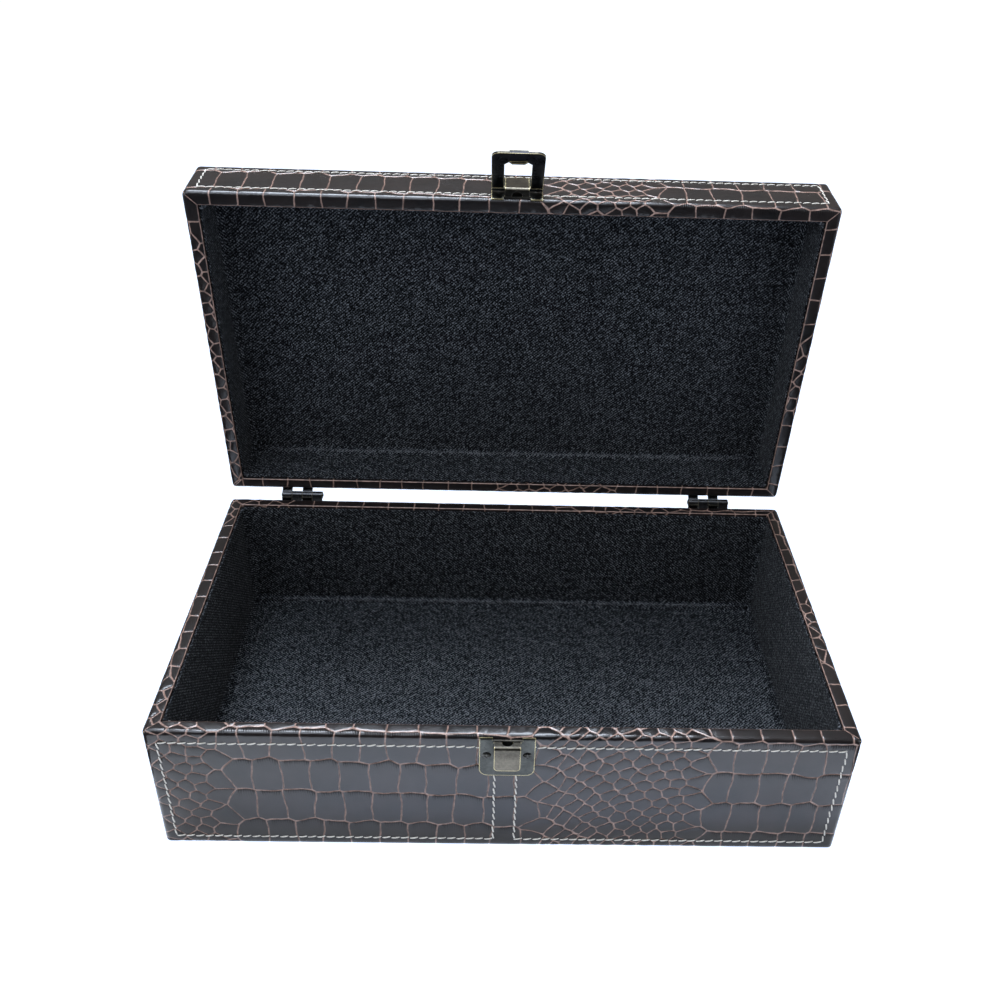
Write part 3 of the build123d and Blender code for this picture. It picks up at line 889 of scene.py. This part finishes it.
def stitched(name, surface, outlines, body, rng):
    """Rows of stitches along closed outlines on a surface."""
    template, template_faces, places = stitch_template()
    sheets, faces, spots = [], [], []
    for corners in outlines:
        for start, end in zip(corners, corners[1:] + corners[:1]):
            start, end = np.array(start), np.array(end)
            length = hypot(*(end - start))
            way = (end - start) / length
            count = round(length / STITCH_PITCH)
            for k in range(count):
                middle = start + (end - start) * (k + 0.5) / count + rng.normal(0, STITCH_STRAY, 2)
                slant = STITCH_SLANT + rng.normal(0, SLANT_STRAY)
                along = way * np.cos(slant) + np.array((-way[1], way[0])) * np.sin(slant)
                across = np.array((-along[1], along[0]))
                flat = middle + template[:, :1] * along + template[:, 1:2] * across
                offset = len(sheets) * len(template)
                sheets.append(np.column_stack([flat, template[:, 2]]))
                faces += [tuple(index + offset for index in face) for face in template_faces]
                spots.append(places + (PLY_STEP * len(sheets), 0))
    sheet = np.concatenate(sheets)
    mesh = new_mesh(name, surface.place(*sheet.T) * MM, faces)
    lay_out(mesh, "thread", np.concatenate(spots))
    finish_piece(mesh, name, body, THREAD_LOOK)


def outline(s0, s1, v0, v1):
    return [(s0, v0), (s1, v0), (s1, v1), (s0, v1)]


BASE_STITCH_LOW = 4.9
BASE_STITCH_HIGH = 67.4
LID_STITCH_LOW = 6.0
LID_STITCH_HIGH = 27.5
STITCH_INSET = 6.0
STITCH_SPLIT = 5.0  # half the plain strip under the catch
STITCH_SHIFT = 0.5  # the strip's middle is this far right of the wall's

catch_s = WIDTH / 2 + STITCH_SHIFT
for half, walls, low, high in (
    ("base", BASE_WALLS, BASE_ZERO + BASE_STITCH_LOW, BASE_ZERO + BASE_STITCH_HIGH),
    ("lid", LID_WALLS, LID_ZERO + LID_STITCH_LOW, LID_ZERO + LID_STITCH_HIGH),
):
    for side in ("front", "right", "left"):
        ends = [(STITCH_INSET, walls[side].length - STITCH_INSET)]
        if (half, side) == ("base", "front"):
            ends = [(STITCH_INSET, catch_s - STITCH_SPLIT), (catch_s + STITCH_SPLIT, WIDTH - STITCH_INSET)]
        outlines = [outline(s0, s1, low, high) for s0, s1 in ends]
        stitched(f"{half}_{side}_stitching", walls[side], outlines, half, rng)
top_outline = outline(STITCH_INSET, WIDTH - STITCH_INSET, STITCH_INSET, DEPTH - STITCH_INSET)
stitched("lid_top_stitching", Top(), [top_outline], "lid", rng)


# Linings
LINING_BACK = RIM + 0.05
LINING_ROUND = 0.45
LINING_SINK = 0.3  # wall linings run on below the floor lining's face
LINING_LAP = 0.4  # floor lining runs on behind the wall linings' faces
LINING_CARD = 0.9
CORNER_HOLLOW = 5.0
COVE = 4.0  # hollow where a wall lining meets the floor
TOE = 0.6
BEAD_RISE = 1.6  # roll of cloth along the crease under the back wall
BEAD_SPREAD = 1.2
BEAD_TURN = radians(38)
BEAD_FADE = 14.0  # the painted highlight on the roll fades out towards the corners
COVE_STEPS = 12
COVE_APPROACH = (3.0, 2.0, 1.2, 0.5)  # rows of points above the hollow
CORNER_STEPS = 6
CLOTH_STEP = 6.0
CLOTH_WAVE = 0.12
FLOOR_WAVE = 1.6 * CLOTH_WAVE
WAVE_REACH = 12.0  # cloth lies still near its edges
WAVE_START = 1.1
FLOOR_PAINTED_LIGHT = 0.80  # painted light: the base floor cloth is painted paler towards the front, where more light falls


def lining_section(edge, far, bead):
    """Closed section of a wall lining from rim to floor: (inset, height, share of hollow, share of bead)."""
    way = 1 if far > edge else -1
    rows = [(LINING_BACK, far + way * LINING_SINK, 0, 0), (LINING_BACK, edge + way * LINING_ROUND, 0, 0)]
    quarter = [share * pi / 2 for share in (0.25, 0.5, 0.75, 1.0)]
    for turn in quarter:
        inset = LINING_BACK + LINING_ROUND * (1 - cos(turn))
        rows.append((inset, edge + way * LINING_ROUND * (1 - sin(turn)), 0, 0))
    for turn in quarter:
        inset = LINING_FACE - LINING_ROUND * (1 - sin(turn))
        rows.append((inset, edge + way * LINING_ROUND * (1 - cos(turn)), 1, 0))
    begin = edge + way * 2 * LINING_ROUND
    end = far - way * COVE
    close = [end - way * gap for gap in COVE_APPROACH]
    count = max(2, round(abs(close[0] - begin) / CLOTH_STEP))
    heights = [begin + (close[0] - begin) * k / count for k in range(count)] + close
    face = [(LINING_FACE, height, 0.0, -abs(end - height)) for height in heights]
    for k in range(COVE_STEPS + 1):
        turn = k / COVE_STEPS * pi / 2
        face.append((LINING_FACE + COVE * (1 - cos(turn)), end + way * COVE * sin(turn), turn, COVE * turn))
    for inset, height, turn, run in face:
        rise = BEAD_RISE * bead * np.exp(-(((run - COVE * BEAD_TURN) / BEAD_SPREAD) ** 2))
        rows.append((inset + rise * cos(turn), height - way * rise * sin(turn), 1, rise / BEAD_RISE))
    rows.append((LINING_FACE + COVE + TOE, far + way * LINING_SINK, 1, 0))
    return np.array(rows)


def cloth_wave(a, b):
    return np.sin(0.11 * a + 0.05 * b) * np.sin(0.07 * b - 0.04 * a + 1.0) + 0.4 * np.sin(0.31 * a - 0.23 * b)


def wall_lining(half, side, edge, far):
    """A covered card set against one wall, hollowed into its neighbours and the floor."""
    wall = (BASE_WALLS if half == "base" else LID_WALLS)[side]
    rows = lining_section(edge, far, 1.0 if side == "back" else 0.0)
    travel = np.concatenate([[0], np.cumsum(np.hypot(*np.diff(rows[:, :2], axis=0).T))])
    bends = np.linspace(pi / 4, 0, CORNER_STEPS)
    straight = np.linspace(0, 1, max(4, round(wall.length / CLOTH_STEP)))[1:-1]
    points, spots, bead_highlights = [], [], []
    for (inset, height, share, rub_and_painted_light), run in zip(rows, travel):
        near = inset + CORNER_HOLLOW * ((1 - share) * (1 - bends / (pi / 4)) + share * (1 - np.sin(bends)))
        bay = inset + share * CORNER_HOLLOW * (1 - np.cos(bends))
        middle = near[-1] + straight * (wall.length - 2 * near[-1])
        s = np.concatenate([near, middle, wall.length - near[::-1]])
        deep = np.concatenate([bay, np.full(len(middle), inset), bay[::-1]])
        reach = np.minimum(s, wall.length - s)
        calm = share * np.clip(reach / WAVE_REACH - WAVE_START, 0, 1)
        deep = deep + CLOTH_WAVE * calm * cloth_wave(s, height)
        plan = wall.start + s[:, None] * wall.along + deep[:, None] * wall.inward
        points.append(np.column_stack([plan, np.full(len(s), height)]))
        spots.append(np.column_stack([s, np.full(len(s), -run)]))
        # painted highlight: the roll of cloth along the back crease is made paler, as if lit from above
        bead_highlights.append(rub_and_painted_light * np.clip(reach / BEAD_FADE - 1, 0, 1))
    wide = len(points[0])
    points = np.concatenate(points)
    points = swung(points, -SHUT_TURN) if half == "lid" else points
    faces = []
    for j in range(len(rows)):
        faces += quads(j * wide, (j + 1) % len(rows) * wide, wide, closed=False)
    faces.append(tuple(j * wide for j in range(len(rows))))
    faces.append(tuple(reversed([j * wide + wide - 1 for j in range(len(rows))])))
    if half == "lid":
        faces = [tuple(reversed(face)) for face in faces]
    name = f"{half}_{side}_cloth"
    mesh = new_mesh(name, points * MM, faces)
    write_points(mesh, "rub_and_painted_light", np.concatenate(bead_highlights))
    lay_out(mesh, "cloth", np.concatenate(spots))
    finish_piece(mesh, name, half, TWILL_LOOK, f"{half}_{side}_lining")


def flat_lining(half, name, face, way, replaced):
    """A covered card on the floor of the base or the top of the lid."""
    x = WIDTH / 2 - LINING_FACE + LINING_LAP
    y = DEPTH / 2 - LINING_FACE + LINING_LAP
    columns = np.linspace(-x, x, round(2 * x / CLOTH_STEP))
    ranks = np.linspace(-y, y, round(2 * y / CLOTH_STEP))
    grid_x, grid_y = (axis.ravel() for axis in np.meshgrid(columns, ranks))
    reach = np.minimum(x - abs(grid_x), y - abs(grid_y))
    wave = FLOOR_WAVE * np.clip(reach / WAVE_REACH, 0, 1) * cloth_wave(grid_x, grid_y)
    heights = (face + wave, np.full(len(wave), face - way * LINING_CARD))
    skins = [np.column_stack([grid_x, grid_y, height]) for height in heights]
    skins = [swung(skin, -SHUT_TURN) for skin in skins] if half == "lid" else skins
    wide = len(columns)
    faces = []
    for j in range(len(ranks) - 1):
        faces += quads(j * wide, (j + 1) * wide, wide, closed=False)
    faces = faces if way > 0 else [face[::-1] for face in faces]
    mesh = closed_shell(name, *skins, faces)
    spots = np.column_stack([grid_x, way * grid_y])
    lay_out(mesh, "cloth", np.concatenate([spots, spots]))
    # painted light: paler towards the front of the base floor, standing in for the light that falls there
    # past the lid
    wear_and_painted_light = max(way, 0) * FLOOR_PAINTED_LIGHT * (y - np.concatenate([grid_y, grid_y])) / (2 * y)
    write_points(mesh, "rub_and_painted_light", wear_and_painted_light)
    finish_piece(mesh, name, half, TWILL_LOOK, replaced)


for side in SIDES:
    wall_lining("base", side, LINING_TOP, FLOOR)
    wall_lining("lid", side, LID_LINING_EDGE, CEILING)
flat_lining("base", "base_floor_cloth", FLOOR, 1, "base_floor_lining")
flat_lining("lid", "lid_top_cloth", CEILING, -1, "lid_top_lining")


# Solids that stay, with finishes
def dress(node, look):
    piece = frame["nodes"][node]
    piece.data.materials.clear()
    piece.data.materials.append(look)


for half in ("base", "lid"):
    for side in SIDES:
        dress(f"{half}_{side}_board", BOARD_LOOK)
    dress(f"{half}_catch_plate", CATCH_LOOKS[half])
    dress(f"{half}_catch_screws", SCREW_LOOK)
    dress(f"{half}_hinge_screws", SCREW_LOOK)
    for side in ("left", "right"):
        dress(f"hinge_{side}_{half}_leaf", LEAF_LOOK)
for side in ("left", "right"):
    dress(f"hinge_{side}_pin", PIN_LOOK)
dress("base_bottom_board", BOARD_LOOK)
dress("lid_top_board", BOARD_LOOK)
dress("base_bottom_cover", BACKING_LOOK)
dress("hasp_loop", LOOP_LOOK)


# Stage and light, in metres
def stage_piece(name, corners, shader, faces=((0, 1, 2, 3),)):
    mesh = new_mesh(name, corners, faces)
    mesh.materials.append(shader.material)
    piece = linked(name, mesh)
    return piece


TABLE_SIZE = 6.0
TABLE_GLOW = (0.725, 0.82, 1.0, 1)
TABLE_STRENGTH = 1.37
FOOT_GLOW = (0.52, 0.65, 1.0, 1)
FOOT_STRENGTH = 0.56
FOOT_GAP = 0.0005
CARD_LEVEL = 0.001
CARD_WIDE = 0.9
CARD_SIDE = 0.2
CARD_FRONT = -0.75
CARD_NEAR = -0.27
CARD_BACK = 0.13
CARD_TOP = 0.8


def card(name, corners, shader):
    """A piece of the stage that is seen only in gloss."""
    piece = stage_piece(name, corners, shader)
    piece.visible_camera = piece.visible_diffuse = piece.visible_shadow = False


def lying(x0, x1, y0, y1, level):
    return [(x, y, level) for x, y in outline(x0, x1, y0, y1)]


def stage_floor():
    """A pale light table."""
    shader = Shader("floor", Roughness=0.7, Emission_Color=TABLE_GLOW, Emission_Strength=TABLE_STRENGTH)
    shader.feed(shader.ramp(shader.noise(shader.spot(), 3.0, 2.0), (0.3, 0.07), (0.7, 0.09)), "Base Color")
    stage_piece("floor", lying(-TABLE_SIZE, TABLE_SIZE, -TABLE_SIZE, TABLE_SIZE, 0), shader)


def backdrop():
    """A white wall far behind the box on every side, which only closes the picture."""
    radius, height, count = 5.9, 7.0, 48
    turns = [tau * k / count for k in range(count)]
    corners = [(radius * cos(turn), radius * sin(turn), z) for z in (0, height) for turn in turns]
    faces = [((k + 1) % count, k, k + count, (k + 1) % count + count) for k in range(count)]
    shader = Shader("backdrop", Roughness=0.9, Emission_Color=(1.0, 1.0, 1.0, 1), Emission_Strength=1.0)
    shader.feed(shader.ramp(shader.noise(shader.spot(), 1.0, 2.0), (0.3, 0.78), (0.7, 0.82)), "Base Color")
    wall = stage_piece("backdrop", corners, shader, faces)
    wall.visible_diffuse = wall.visible_glossy = wall.visible_shadow = False


def dark_cards():
    """Black studio cards round the box, seen only in its gloss, as a dark room would be."""
    shader = Shader("card", Roughness=0.9, Specular_IOR_Level=0.0)
    cloud = shader.noise(shader.spot(), 40.0, 2.0)
    shader.feed(shader.ramp(cloud, (0.3, 0.004), (0.7, 0.008)), "Base Color")
    for name, area in {
        "card_front": (-CARD_WIDE, CARD_WIDE, CARD_FRONT, CARD_NEAR),
        "card_left": (-CARD_WIDE, -CARD_SIDE, CARD_NEAR, CARD_WIDE),
        "card_right": (CARD_SIDE, CARD_WIDE, CARD_NEAR, CARD_WIDE),
        "card_back": (-CARD_SIDE, CARD_SIDE, CARD_BACK, CARD_WIDE),
    }.items():
        card(name, lying(*area, CARD_LEVEL), shader)
    foot = [(x, CARD_FRONT, 0) for x in (-CARD_WIDE, CARD_WIDE)]
    head = [(x, CARD_FRONT, CARD_TOP) for x in (CARD_WIDE, -CARD_WIDE)]
    card("card_standing", foot + head, shader)


def foot_card():
    """The light table just before the box, seen only in its gloss, with painted shade: dimmer at the box's
    foot, where it stands in for the box's shadow, and towards the left.
    """
    start = -DEPTH / 2 * MM - FOOT_GAP
    shader = Shader("card_foot", Roughness=0.9, Specular_IOR_Level=0.0, Emission_Color=FOOT_GLOW)
    parts = shader.add("ShaderNodeSeparateXYZ", {"Vector": shader.spot()}).outputs
    across = shader.math("DIVIDE", shader.math("ADD", parts["X"], CARD_SIDE), 2 * CARD_SIDE)
    out = shader.math("DIVIDE", shader.math("SUBTRACT", start, parts["Y"]), start - CARD_NEAR)
    # painted shadow: the glow is dimmed at the box's foot, standing in for its contact shadow, and towards
    # the left
    stops = ((0.10, 0.10), (0.22, 0.55), (0.36, 0.92), (0.55, 1.0), (0.75, 0.90), (0.9, 0.72))
    sideways = shader.ramp(across, *stops)
    stops = ((0.03, 0.0), (0.05, 0.15), (0.07, 0.62), (0.095, 1.0), (0.2, 0.94), (0.33, 0.64))
    away = shader.ramp(out, *stops)
    glow = shader.math("MULTIPLY", sideways, away)
    shader.feed(shader.math("MULTIPLY", glow, FOOT_STRENGTH), "Emission Strength")
    card("card_foot", lying(-CARD_SIDE, CARD_SIDE, CARD_NEAR, start, CARD_LEVEL), shader)


def area_light(name, place, height_aimed, size, watts, colour):
    data = bpy.data.lights.new(name, "AREA")
    data.shape = "RECTANGLE"
    data.size, data.size_y = size
    data.energy = watts
    data.color = colour
    light = linked(name, data)
    light.location = place
    way = np.array((0, 0, height_aimed)) - np.array(place)
    light.rotation_mode = "QUATERNION"
    light.rotation_quaternion = Vector(way).to_track_quat("-Z", "Y")


stage_floor()
backdrop()
dark_cards()
foot_card()
area_light("key", (-0.25, -0.30, 1.35), 0.08, (1.0, 1.2), 15, (0.77, 0.86, 1.0))
area_light("top", (-0.15, 0.50, 1.50), 0.05, (0.9, 0.6), 29, (0.80, 0.88, 1.0))
area_light("fill_right", (1.2, -0.8, 0.7), 0.12, (0.9, 0.9), 6, (0.84, 0.92, 1.0))
area_light("fill_left", (-1.2, -0.8, 0.7), 0.12, (0.9, 0.9), 9, (0.84, 0.92, 1.0))
world = bpy.data.worlds.new("world")
bpy.context.scene.world = world
world.use_nodes = True
background = world.node_tree.nodes["Background"]
background.inputs["Color"].default_value = (1.0, 0.91, 0.85, 1)
background.inputs["Strength"].default_value = 0.20
